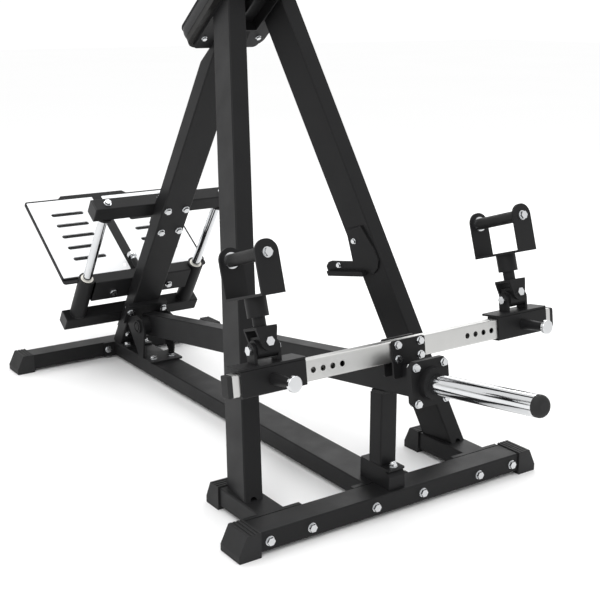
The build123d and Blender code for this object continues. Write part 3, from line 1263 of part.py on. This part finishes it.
sleeve_start = Plane(arm_point(SLEEVE_IN, BAR_S, BAR_H), x_dir=-ARM_DIR, z_dir=ACROSS)
lug_height = JOINT_H - SLEEVE_TOP
with BuildPart() as right_sleeve:
    with BuildSketch(sleeve_start):
        RectangleRounded(SLEEVE_D, SLEEVE_TALL, TUBE_R)
        RectangleRounded(BAR_D + 2 * SLEEVE_GAP, BAR_TALL + 2 * SLEEVE_GAP, TUBE_R, mode=Mode.SUBTRACT)
    extrude(amount=SLEEVE_OUT - SLEEVE_IN)
    with BuildSketch(above_arm((SLEEVE_IN + SLEEVE_OUT) / 2, (LID_REAR_S + LID_FRONT_S) / 2, SLEEVE_TOP)):
        RectangleRounded(SLEEVE_OUT - SLEEVE_IN + SLEEVE_LID_OVER, LID_FRONT_S - LID_REAR_S, 5)
    extrude(amount=SLEEVE_LID_T)
    with BuildSketch(arm_side(PIN_X + LUG_IN), arm_side(PIN_X - LUG_OUT)):
        with Locations((-HINGE_S, JOINT_H)):
            Circle(LUG_R)
        with Locations((-HINGE_S, SLEEVE_TOP + lug_height / 2)):
            Rectangle(2 * LUG_R, lug_height)
        with Locations((-HINGE_S, JOINT_H)):
            Circle(CROSS_PIN_R + RUNNING, mode=Mode.SUBTRACT)
    extrude(amount=LUG_OUT - LUG_IN)
    with BuildSketch(along_arm(PIN_X, BAR_S + SLEEVE_D / 2 - 1, BAR_H)):
        Circle(PIN_TUBE_R)
    with BuildSketch(along_arm(PIN_X, PIN_TUBE_END, BAR_H)):
        Circle(PIN_TUBE_TIP_R)
    loft()
    with BuildSketch(along_arm(PIN_X, BAR_S + BAR_D / 2 + SLEEVE_GAP, BAR_H)):
        Circle(PULL_R + RUNNING)
    extrude(amount=PIN_TUBE_END, mode=Mode.SUBTRACT)
with BuildPart() as left_sleeve:
    add(mirrored(right_sleeve.part))
export(right_sleeve, "right_sleeve")
export(left_sleeve, "left_sleeve")

with BuildPart() as right_pull_pin:
    with BuildSketch(along_arm(PIN_X, CLAMP_FRONT_S + 1, BAR_H)):
        Circle(PULL_R)
    extrude(amount=PULL_DISC_S - CLAMP_FRONT_S - 1)
    with BuildSketch(along_arm(PIN_X, PULL_DISC_S, BAR_H)):
        Circle(PULL_DISC_R)
    extrude(amount=PULL_DISC_T)
    fillet(right_pull_pin.edges().sort_by(Axis(arm_point(0, 0, 0), ARM_DIR))[-1], 3)
with BuildPart() as left_pull_pin:
    add(mirrored(right_pull_pin.part))
export(right_pull_pin, "right_pull_pin")
export(left_pull_pin, "left_pull_pin")

BLOCK_TOP_HALF = 18.0     # half width of the block around the upper pin
BLOCK_RISE = SWING_RISE + 13.0
block_half = LUG_IN - 1
with BuildPart() as right_joint_block:
    with BuildSketch(stem_side(-block_half)):
        Circle(YOKE_IN - 1)
        Circle(CROSS_PIN_R, mode=Mode.SUBTRACT)
    extrude(amount=2 * block_half)
    with BuildSketch(stem_side(-BLOCK_TOP_HALF)):
        with Locations((0, BLOCK_RISE / 2)):
            Rectangle(2 * (YOKE_IN - 1), BLOCK_RISE)
        Circle(CROSS_PIN_R, mode=Mode.SUBTRACT)
    extrude(amount=2 * BLOCK_TOP_HALF)
    with BuildSketch(stem_front(-YOKE_IN, SWING_RISE)):
        Circle(SWING_PIN_R)
    extrude(amount=2 * YOKE_IN, mode=Mode.SUBTRACT)
with BuildPart() as left_joint_block:
    add(mirrored(right_joint_block.part))
export(right_joint_block, "right_joint_block")
export(left_joint_block, "left_joint_block")


def joint_pin(start, radius, length, head_r):
    """Pin with a bolt head at its start and a thin round nut at its end."""
    with BuildPart() as pin:
        with BuildSketch(start):
            Circle(radius)
        extrude(amount=-length)
        with BuildSketch(start):
            RegularPolygon(head_r, 6)
        extrude(amount=CROSS_HEAD_T)
        with BuildSketch(start.offset(-length)):
            Circle(head_r)
        extrude(amount=-CROSS_HEAD_T / 2)
    return pin.part


pin_head = Plane(joint_point + ACROSS * (PIN_X - LUG_OUT - 0.3), x_dir=STEM_FRONT_DIR, z_dir=-ACROSS)
cross_pin = joint_pin(pin_head, CROSS_PIN_R, 2 * LUG_OUT + 0.6, CROSS_HEAD_R)
swing_pin = joint_pin(stem_front(YOKE_OUT + 0.3, SWING_RISE), SWING_PIN_R, 2 * YOKE_OUT + 0.6, CROSS_HEAD_R)
group([cross_pin, swing_pin], "right_joint_pins")
left_cross_pin = cross_pin.moved(Location(ACROSS * (-2 * PIN_X)))
group([left_cross_pin, mirrored(swing_pin)], "left_joint_pins")

with BuildPart() as right_yoke:
    with BuildSketch(stem_front(YOKE_OUT), stem_front(-YOKE_IN)):
        with Locations((0, SWING_RISE)):
            Circle(YOKE_CHEEK_R)
        with BuildLine():
            Polyline((-YOKE_CHEEK_R, SWING_RISE), (YOKE_CHEEK_R, SWING_RISE), (YOKE_HALF, YOKE_BRIDGE),
                     (YOKE_HALF, YOKE_TOP), (-YOKE_HALF, YOKE_TOP), (-YOKE_HALF, YOKE_BRIDGE), close=True)
        make_face()
        with Locations((0, SWING_RISE)):
            Circle(SWING_PIN_R + RUNNING, mode=Mode.SUBTRACT)
    extrude(amount=-(YOKE_OUT - YOKE_IN))
    with BuildSketch(stem_at(YOKE_BRIDGE)):
        Rectangle(2 * YOKE_HALF, 2 * YOKE_OUT)
    extrude(amount=YOKE_TOP - YOKE_BRIDGE)
    with BuildSketch(stem_at(YOKE_TOP)):
        Circle(NECK_R)
    extrude(amount=NECK_TOP - YOKE_TOP)
    with BuildSketch(stem_at(NECK_TOP)):
        Circle(SPINDLE_R)
    extrude(amount=SPINDLE_HEAD_LOW - NECK_TOP)
with BuildPart() as right_stirrup:
    with BuildSketch(stem_at(BARREL_LOW)):
        Circle(BARREL_R)
    extrude(amount=BARREL_TOP - BARREL_LOW)
    with BuildSketch(stem_side(-STRAP_W / 2)):
        with BuildLine():
            Polyline((-STIRRUP_HALF, BARREL_TOP), (STIRRUP_HALF, BARREL_TOP), (STIRRUP_HALF, STIRRUP_TOP),
                     (STIRRUP_HALF - STRAP_T, STIRRUP_TOP), (STIRRUP_HALF - STRAP_T, BARREL_TOP + STRAP_T),
                     (STRAP_T - STIRRUP_HALF, BARREL_TOP + STRAP_T), (STRAP_T - STIRRUP_HALF, STIRRUP_TOP),
                     (-STIRRUP_HALF, STIRRUP_TOP), close=True)
        make_face()
    extrude(amount=STRAP_W)
    top_edges = right_stirrup.edges().filter_by(Axis(joint_point, STEM_FRONT_DIR))
    fillet(top_edges.group_by(Axis(joint_point, STEM_DIR))[-1], STRAP_W / 2 - 1)
    with BuildSketch(stem_at(BARREL_LOW)):
        Circle(SPINDLE_R + RUNNING)
    extrude(amount=BARREL_TOP - BARREL_LOW, mode=Mode.SUBTRACT)
    with BuildSketch(stem_at(SPINDLE_HEAD_LOW - 0.5)):
        Circle(SPINDLE_HEAD_R + 2)
    extrude(amount=BARREL_TOP + STRAP_T - SPINDLE_HEAD_LOW + 0.5, mode=Mode.SUBTRACT)
    with BuildSketch(stem_front(-STIRRUP_HALF, GRIP_RISE)):
        Circle(GRIP_BORE)
    extrude(amount=2 * STIRRUP_HALF, mode=Mode.SUBTRACT)
with BuildPart() as left_stirrup:
    add(mirrored(right_stirrup.part))
export(right_stirrup, "right_stirrup")
export(left_stirrup, "left_stirrup")

with BuildPart() as spindle_nut:
    with BuildSketch(stem_at(SPINDLE_HEAD_LOW)):
        RegularPolygon(SPINDLE_HEAD_R, 6)
    extrude(amount=SPINDLE_HEAD_T)
group([right_yoke.part, spindle_nut.part], "right_yoke")
group([mirrored(right_yoke.part), mirrored(spindle_nut.part)], "left_yoke")

grip_half = STIRRUP_HALF - STRAP_T - GRIP_WASHER_T - GRIP_GAP
with BuildPart() as right_grip:
    with BuildSketch(stem_front(-grip_half, GRIP_RISE)):
        Circle(GRIP_R)
        Circle(GRIP_BORE + RUNNING, mode=Mode.SUBTRACT)
    extrude(amount=2 * grip_half)
with BuildPart() as left_grip:
    add(mirrored(right_grip.part))
export(right_grip, "right_grip")
export(left_grip, "left_grip")

with BuildPart() as right_grip_bolt:
    with BuildSketch(stem_front(-STIRRUP_HALF, GRIP_RISE)):
        Circle(GRIP_BORE)
    extrude(amount=2 * STIRRUP_HALF)
    with BuildSketch(stem_front(STIRRUP_HALF, GRIP_RISE)):
        Circle(WASHER_R)
    extrude(amount=WASHER_H)
    with BuildSketch(stem_front(STIRRUP_HALF + WASHER_H, GRIP_RISE)):
        RegularPolygon(HEAD_R, 6)
    extrude(amount=HEAD_H)
    with BuildSketch(stem_front(-STIRRUP_HALF, GRIP_RISE)):
        Circle(GRIP_WASHER_R - 4)
    extrude(amount=-HEAD_H / 2)
    with BuildSketch(stem_front(STRAP_T - STIRRUP_HALF, GRIP_RISE)):
        Circle(GRIP_WASHER_R)
    extrude(amount=GRIP_WASHER_T)
with BuildPart() as left_grip_bolt:
    add(mirrored(right_grip_bolt.part))
export(right_grip_bolt, "right_grip_bolt")
export(left_grip_bolt, "left_grip_bolt")
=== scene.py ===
import json
import math

import bpy
from mathutils import Matrix, Vector


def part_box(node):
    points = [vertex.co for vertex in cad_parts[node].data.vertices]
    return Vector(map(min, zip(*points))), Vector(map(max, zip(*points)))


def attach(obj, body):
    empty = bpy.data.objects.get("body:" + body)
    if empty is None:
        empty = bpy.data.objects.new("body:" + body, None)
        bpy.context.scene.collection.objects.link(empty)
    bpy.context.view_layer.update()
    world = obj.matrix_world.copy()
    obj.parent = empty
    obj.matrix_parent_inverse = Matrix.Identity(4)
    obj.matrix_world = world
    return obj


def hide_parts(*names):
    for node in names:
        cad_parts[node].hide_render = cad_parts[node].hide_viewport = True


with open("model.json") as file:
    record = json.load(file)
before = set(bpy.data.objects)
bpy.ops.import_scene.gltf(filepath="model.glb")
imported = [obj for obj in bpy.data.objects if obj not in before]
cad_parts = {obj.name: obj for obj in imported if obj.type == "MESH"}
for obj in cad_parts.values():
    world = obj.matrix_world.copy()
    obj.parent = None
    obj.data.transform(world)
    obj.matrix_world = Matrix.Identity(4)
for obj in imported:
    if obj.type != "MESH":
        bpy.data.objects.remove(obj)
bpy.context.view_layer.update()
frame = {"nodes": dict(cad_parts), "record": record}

NOISE_LOW = 0.3           # the usual spread of the noise texture's values
NOISE_HIGH = 0.7


# ---------------------------------------------------------------- materials
def shader(name):
    """A new material with its node tree and principled shader."""
    made = bpy.data.materials.new(name)
    made.use_nodes = True
    tree = made.node_tree
    return made, tree, tree.nodes["Principled BSDF"]


def noise(tree, scale, detail=3.0, roughness=0.5, stretch=None):
    """Noise in the frame's own metres; scale is per metre."""
    where = tree.nodes.new("ShaderNodeTexCoord")
    texture = tree.nodes.new("ShaderNodeTexNoise")
    texture.inputs["Scale"].default_value = scale
    texture.inputs["Detail"].default_value = detail
    texture.inputs["Roughness"].default_value = roughness
    source = where.outputs["Object"]
    if stretch is not None:
        mapping = tree.nodes.new("ShaderNodeMapping")
        mapping.inputs["Scale"].default_value = stretch
        tree.links.new(source, mapping.inputs["Vector"])
        source = mapping.outputs["Vector"]
    tree.links.new(source, texture.inputs["Vector"])
    return texture.outputs["Fac"]


def spread(tree, value, low, high):
    """Map a 0 to 1 value onto low to high."""
    mapped = tree.nodes.new("ShaderNodeMapRange")
    mapped.inputs["From Min"].default_value = NOISE_LOW
    mapped.inputs["From Max"].default_value = NOISE_HIGH
    mapped.inputs["To Min"].default_value = low
    mapped.inputs["To Max"].default_value = high
    tree.links.new(value, mapped.inputs["Value"])
    return mapped.outputs["Result"]


def tint(tree, value, dark, light):
    """Blend two colours by a value."""
    mixed = tree.nodes.new("ShaderNodeMix")
    mixed.data_type = "RGBA"
    mixed.inputs[6].default_value = (*dark, 1)
    mixed.inputs[7].default_value = (*light, 1)
    tree.links.new(value, mixed.inputs[0])
    return mixed.outputs[2]


def bump(tree, bsdf, height, distance, strength=1.0):
    """Raise the surface by a height value."""
    raised = tree.nodes.new("ShaderNodeBump")
    raised.inputs["Distance"].default_value = distance
    raised.inputs["Strength"].default_value = strength
    tree.links.new(height, raised.inputs["Height"])
    tree.links.new(raised.outputs["Normal"], bsdf.inputs["Normal"])


def finish(name, dark, light, rough, metal=0.0, grain=900.0, depth=0.00003, patch=14.0, coat=0.0,
           level=0.5, stretch=None, coat_rough=0.2):
    """A plain finish with patchy colour and gloss and a fine surface grain."""
    made, tree, bsdf = shader(name)
    bsdf.inputs["Metallic"].default_value = metal
    bsdf.inputs["Specular IOR Level"].default_value = level
    bsdf.inputs["Coat Weight"].default_value = coat
    bsdf.inputs["Coat Roughness"].default_value = coat_rough
    patches = noise(tree, patch, 4.0)
    tree.links.new(tint(tree, patches, dark, light), bsdf.inputs["Base Color"])
    tree.links.new(spread(tree, patches, rough[0], rough[1]), bsdf.inputs["Roughness"])
    bump(tree, bsdf, noise(tree, grain, 2.0, stretch=stretch), depth)
    return made


MATERIALS = {
    "black_steel": finish("powder_coat", (0.0085, 0.0085, 0.009), (0.0125, 0.0125, 0.013), (0.4, 0.5),
                          grain=1400.0, depth=0.00005, level=0.14),
    "black_rubber": finish("moulded_rubber", (0.011, 0.011, 0.012), (0.018, 0.018, 0.018), (0.55, 0.7),
                           grain=700.0, depth=0.0001, level=0.25),
    "grip_rubber": finish("grip_rubber", (0.009, 0.009, 0.009), (0.014, 0.014, 0.014), (0.5, 0.62),
                          grain=260.0, depth=0.0006, level=0.25),
    "black_plastic": finish("black_plastic", (0.011, 0.011, 0.012), (0.016, 0.016, 0.017), (0.4, 0.5),
                            grain=500.0, depth=0.00006, level=0.25),
    "bush_plastic": finish("bush_plastic", (0.62, 0.6, 0.55), (0.7, 0.68, 0.62), (0.35, 0.45)),
    "chrome": finish("chrome", (0.6, 0.61, 0.62), (0.7, 0.71, 0.72), (0.05, 0.09), metal=1.0,
                     grain=120.0, depth=0.00001),
    "bright_fastener": finish("zinc", (0.55, 0.56, 0.57), (0.68, 0.69, 0.7), (0.16, 0.26), metal=1.0,
                              grain=900.0, depth=0.00003),
    "satin_chrome": finish("satin_chrome", (0.49, 0.49, 0.48), (0.58, 0.58, 0.57), (0.28, 0.36), metal=1.0,
                           grain=700.0, depth=0.00003, stretch=(0.02, 1, 1)),
    "white_tread": finish("white_tread", (0.78, 0.79, 0.8), (0.86, 0.87, 0.88), (0.4, 0.5),
                          grain=1100.0, depth=0.00008),
    "board": finish("stained_plywood", (0.012, 0.012, 0.012), (0.02, 0.019, 0.018), (0.5, 0.65), grain=300.0,
                    depth=0.0002, stretch=(0.1, 1, 1), level=0.25),
    "pad_vinyl": finish("vinyl", (0.011, 0.011, 0.012), (0.017, 0.017, 0.018), (0.4, 0.5), grain=650.0,
                        depth=0.00022, level=0.3),
}
slot_of = {row["node"]: row["material_slot"] for row in frame["record"]["subparts"]}
for node, shown in frame["nodes"].items():
    shown.data.materials.clear()
    shown.data.materials.append(MATERIALS[slot_of[node]])

# ---------------------------------------------------------------- chest pad
PAD_TILT = math.radians(37.0)
pad_low, pad_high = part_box("chest_pad")
FOAM = 0.050
PAD_X = (pad_high.x - pad_low.x) / 2
PAD_ROUND = 0.042
pad_along = Vector((0, math.cos(PAD_TILT), -math.sin(PAD_TILT)))
pad_out = Vector((0, math.sin(PAD_TILT), math.cos(PAD_TILT)))
pad_points = [v.co.copy() for v in frame["nodes"]["chest_pad"].data.vertices]
along_low = min(p.dot(pad_along) for p in pad_points)
along_high = max(p.dot(pad_along) for p in pad_points)
out_low = min(p.dot(pad_out) for p in pad_points)
out_high = max(p.dot(pad_out) for p in pad_points)
PAD_Y = (along_high - along_low) / 2
pad_middle = pad_along * ((along_low + along_high) / 2) + pad_out * out_low
PAD_PLACE = Matrix.Translation(pad_middle) @ Matrix((
    (1, 0, 0, 0), (0, pad_along.y, pad_out.y, 0), (0, pad_along.z, pad_out.z, 0), (0, 0, 0, 1)))


def outline(half_x, half_y, corner, steps=10):
    """Points round a rounded rectangle, corner by corner."""
    points = []
    for quarter, (sx, sy) in enumerate(((1, 1), (-1, 1), (-1, -1), (1, -1))):
        for step in range(steps + 1):
            turn = math.pi / 2 * (quarter + step / steps)
            points.append((sx * (half_x - corner) + corner * math.cos(turn),
                           sy * (half_y - corner) + corner * math.sin(turn)))
    return points


def mesh_object(name, verts, faces):
    """New smooth-shaded mesh object in the scene."""
    mesh = bpy.data.meshes.new(name)
    mesh.from_pydata(verts, [], faces)
    mesh.update()
    made = bpy.data.objects.new(name, mesh)
    bpy.context.scene.collection.objects.link(made)
    mesh.polygons.foreach_set("use_smooth", [True] * len(mesh.polygons))
    return made


def stacked(name, rings):
    """Closed skin through rings of points, capped at both ends."""
    count = len(rings[0])
    verts = [point for ring in rings for point in ring]
    faces = []
    for row in range(len(rings) - 1):
        for spot in range(count):
            turn = (spot + 1) % count
            faces.append((row * count + spot, row * count + turn,
                          (row + 1) * count + turn, (row + 1) * count + spot))
    faces.append(tuple(range(count))[::-1])
    faces.append(tuple((len(rings) - 1) * count + spot for spot in range(count)))
    return mesh_object(name, verts, faces)


def settle(obj, frames, pressure, pinned):
    """Blow the cover up gently around its foam and keep the shape it takes."""
    cloth = obj.modifiers.new("cover", "CLOTH")
    cloth.settings.quality = 5
    cloth.settings.mass = 0.3
    cloth.settings.tension_stiffness = 30
    cloth.settings.compression_stiffness = 30
    cloth.settings.shear_stiffness = 10
    cloth.settings.bending_stiffness = 1.5
    cloth.settings.use_pressure = True
    cloth.settings.uniform_pressure_force = pressure
    cloth.settings.vertex_group_mass = pinned
    cloth.settings.effector_weights.gravity = 0
    cloth.point_cache.frame_start = 1
    cloth.point_cache.frame_end = frames
    for number in range(1, frames + 1):
        bpy.context.scene.frame_set(number)
    graph = bpy.context.evaluated_depsgraph_get()
    shaped = bpy.data.meshes.new_from_object(obj.evaluated_get(graph))
    obj.modifiers.clear()
    obj.data = shaped
    bpy.context.scene.frame_set(1)


INSET = 0.002             # cover inside the CAD pad before it swells
SEAM_HEIGHT = 0.034       # where the side panel meets the top panel
SEAM_PULL = 0.0022        # how far the seam is drawn in
SIDE_SWELL = 0.0025       # how far the side panel bulges between board and seam
SIDE_INSET = 0.001
TOP_INSET = 0.016         # the top panel's rounded edge, seen from above
TOP_DROP = 0.003          # cover below the CAD pad's top before it swells
CORNER_SHARE = 0.6        # the corner radius shrinks by this share of the inset
SIDE_RINGS = 12
TOP_RINGS = 9
CROWN = 0.010             # height of the crown in the middle of the pad
CROWN_DROP = 0.006        # the pad's edges sink by this much
VOXEL = 0.005
BOARD_EDGE = 0.004        # below this the cover is stapled to the board
SEAM_BAND = 0.003         # half width of the band the seam holds
SEAM_REACH = 0.02         # the seam holds only this close to the pad's edge
SEAM_HOLD = 0.75
LEAST_HOLD = 0.02
CLOTH_FRAMES = 18
PRESSURE = 4.0
SIDE_ROOM = 0.001         # the finished cover stays this close to the CAD pad
TOP_ROOM = 0.003
BOARD_GAP = 0.0004


def pad_rings():
    """Rings from the board up the side panel, over the seam and across the crowned top."""
    half_x, half_y = PAD_X - INSET, PAD_Y - INSET
    rings = []
    for step in range(SIDE_RINGS + 1):
        share = step / SIDE_RINGS
        height = SEAM_HEIGHT * share
        swell = SIDE_SWELL * math.sin(math.pi * share) - SEAM_PULL * (step == SIDE_RINGS) - SIDE_INSET
        rings.append([(x, y, height) for x, y in
                      outline(half_x + swell, half_y + swell, PAD_ROUND)])
    for step in range(1, TOP_RINGS + 1):
        share = step / TOP_RINGS
        turn = math.pi / 2 * share
        inward = TOP_INSET * (1 - math.cos(turn))
        height = SEAM_HEIGHT + (FOAM - TOP_DROP - SEAM_HEIGHT) * math.sin(turn)
        rings.append([(x, y, height) for x, y in
                      outline(half_x - inward, half_y - inward, PAD_ROUND - inward * CORNER_SHARE)])
    return rings


cover = stacked("pad_cover", pad_rings())
cover.data.materials.append(MATERIALS["pad_vinyl"])
bpy.context.view_layer.objects.active = cover
remesh = cover.modifiers.new("remesh", "REMESH")
remesh.mode = "VOXEL"
remesh.voxel_size = VOXEL
graph = bpy.context.evaluated_depsgraph_get()
cover.data = bpy.data.meshes.new_from_object(cover.evaluated_get(graph))
cover.modifiers.clear()
held = cover.vertex_groups.new(name="held")
for vertex in cover.data.vertices:
    x, y, z = vertex.co
    edge = min(PAD_X - abs(x), PAD_Y - abs(y))
    seam = math.exp(-((z - SEAM_HEIGHT) / SEAM_BAND) ** 2) if edge < SEAM_REACH else 0.0
    weight = 1.0 if z < BOARD_EDGE else SEAM_HOLD * seam
    if weight > LEAST_HOLD:
        held.add([vertex.index], weight, "REPLACE")
settle(cover, CLOTH_FRAMES, PRESSURE, "held")
limit_x, limit_y, limit_z = PAD_X + SIDE_ROOM, PAD_Y + SIDE_ROOM, FOAM + TOP_ROOM
for vertex in cover.data.vertices:
    x, y, z = vertex.co
    crown = CROWN * max(0.0, 1 - (x / PAD_X) ** 2) * max(0.0, 1 - (y / PAD_Y) ** 2)
    if z > SEAM_HEIGHT:
        z += (crown - CROWN_DROP) * (z - SEAM_HEIGHT) / (FOAM - SEAM_HEIGHT)
    vertex.co = (max(-limit_x, min(limit_x, x)), max(-limit_y, min(limit_y, y)),
                 max(BOARD_GAP, min(limit_z, z)))
cover.data.polygons.foreach_set("use_smooth", [True] * len(cover.data.polygons))
smooth = cover.modifiers.new("smooth", "SUBSURF")
smooth.levels = 1
smooth.render_levels = 1
cover.matrix_world = PAD_PLACE
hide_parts("chest_pad")
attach(cover, "frame")


def loop_tube(name, points, radius, material, body):
    """Closed tube through points in the pad's own place."""
    curve = bpy.data.curves.new(name, "CURVE")
    curve.dimensions = "3D"
    curve.bevel_depth = radius
    curve.bevel_resolution = 3
    line = curve.splines.new("POLY")
    line.points.add(len(points) - 1)
    for spot, point in zip(line.points, points):
        spot.co = (*point, 1)
    line.use_cyclic_u = True
    made = bpy.data.objects.new(name, curve)
    bpy.context.scene.collection.objects.link(made)
    graph = bpy.context.evaluated_depsgraph_get()
    mesh = bpy.data.meshes.new_from_object(made.evaluated_get(graph))
    bpy.data.objects.remove(made)
    piece = bpy.data.objects.new(name, mesh)
    bpy.context.scene.collection.objects.link(piece)
    piece.data.polygons.foreach_set("use_smooth", [True] * len(piece.data.polygons))
    piece.data.materials.clear()
    piece.data.materials.append(material)
    piece.matrix_world = PAD_PLACE
    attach(piece, body)
    return piece


PIPING_R = 0.0022
PIPING_STEPS = 16
piping_line = [(x, y, SEAM_HEIGHT)
               for x, y in outline(PAD_X - PIPING_R, PAD_Y - PIPING_R, PAD_ROUND, PIPING_STEPS)]
loop_tube("pad_piping", piping_line, PIPING_R, MATERIALS["pad_vinyl"], "frame")

# ---------------------------------------------------------------- floor, light, camera
floor_mesh = bpy.data.meshes.new("floor")
FLOOR_HALF = 30.0
floor_mesh.from_pydata([(-FLOOR_HALF, -FLOOR_HALF, 0), (FLOOR_HALF, -FLOOR_HALF, 0),
                        (FLOOR_HALF, FLOOR_HALF, 0), (-FLOOR_HALF, FLOOR_HALF, 0)], [], [(0, 1, 2, 3)])
floor = bpy.data.objects.new("floor", floor_mesh)
bpy.context.scene.collection.objects.link(floor)
floor.data.materials.append(finish("studio_floor", (0.93, 0.93, 0.93), (0.95, 0.95, 0.95), (0.8, 0.9),
                                   patch=0.4, level=0.0))

world = bpy.data.worlds.new("studio")
world.use_nodes = True
world.node_tree.nodes["Background"].inputs["Color"].default_value = (1, 1, 1, 1)
world.node_tree.nodes["Background"].inputs["Strength"].default_value = 1.05
bpy.context.scene.world = world
bpy.context.scene.view_settings.view_transform = "Standard"


def softbox(name, place, aim, size, watts):
    """Square area light that points at a place."""
    lamp = bpy.data.lights.new(name, "AREA")
    lamp.shape = "SQUARE"
    lamp.size = size
    lamp.energy = watts
    stand = bpy.data.objects.new(name, lamp)
    stand.location = place
    stand.rotation_mode = "QUATERNION"
    stand.rotation_quaternion = (Vector(aim) - Vector(place)).to_track_quat("-Z", "Y")
    bpy.context.scene.collection.objects.link(stand)


softbox("key", (-3.0, -2.6, 3.6), (0, 0, 0.5), 2.4, 60)
softbox("top", (0.4, 0.6, 4.2), (0, 0, 0.3), 3.0, 50)
softbox("rim", (3.0, 2.4, 2.6), (0, 0, 0.6), 2.0, 30)

CAMERA_BACK = 1.9257      # in front of the front beam's face
CAMERA_AT = (-1.6154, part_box("front_floor_beam")[0].y - CAMERA_BACK, 1.2197)
CAMERA_TURN = math.radians(34.32)
CAMERA_DOWN = math.radians(15.0)
CAMERA_LENS = 65.56
camera = bpy.data.objects.new("camera", bpy.data.cameras.new("camera"))
camera.data.lens = CAMERA_LENS
camera.data.sensor_width = 36.0
camera.location = CAMERA_AT
camera.rotation_euler = (math.pi / 2 - CAMERA_DOWN, 0, -CAMERA_TURN)
bpy.context.scene.collection.objects.link(camera)
bpy.context.scene.camera = camera
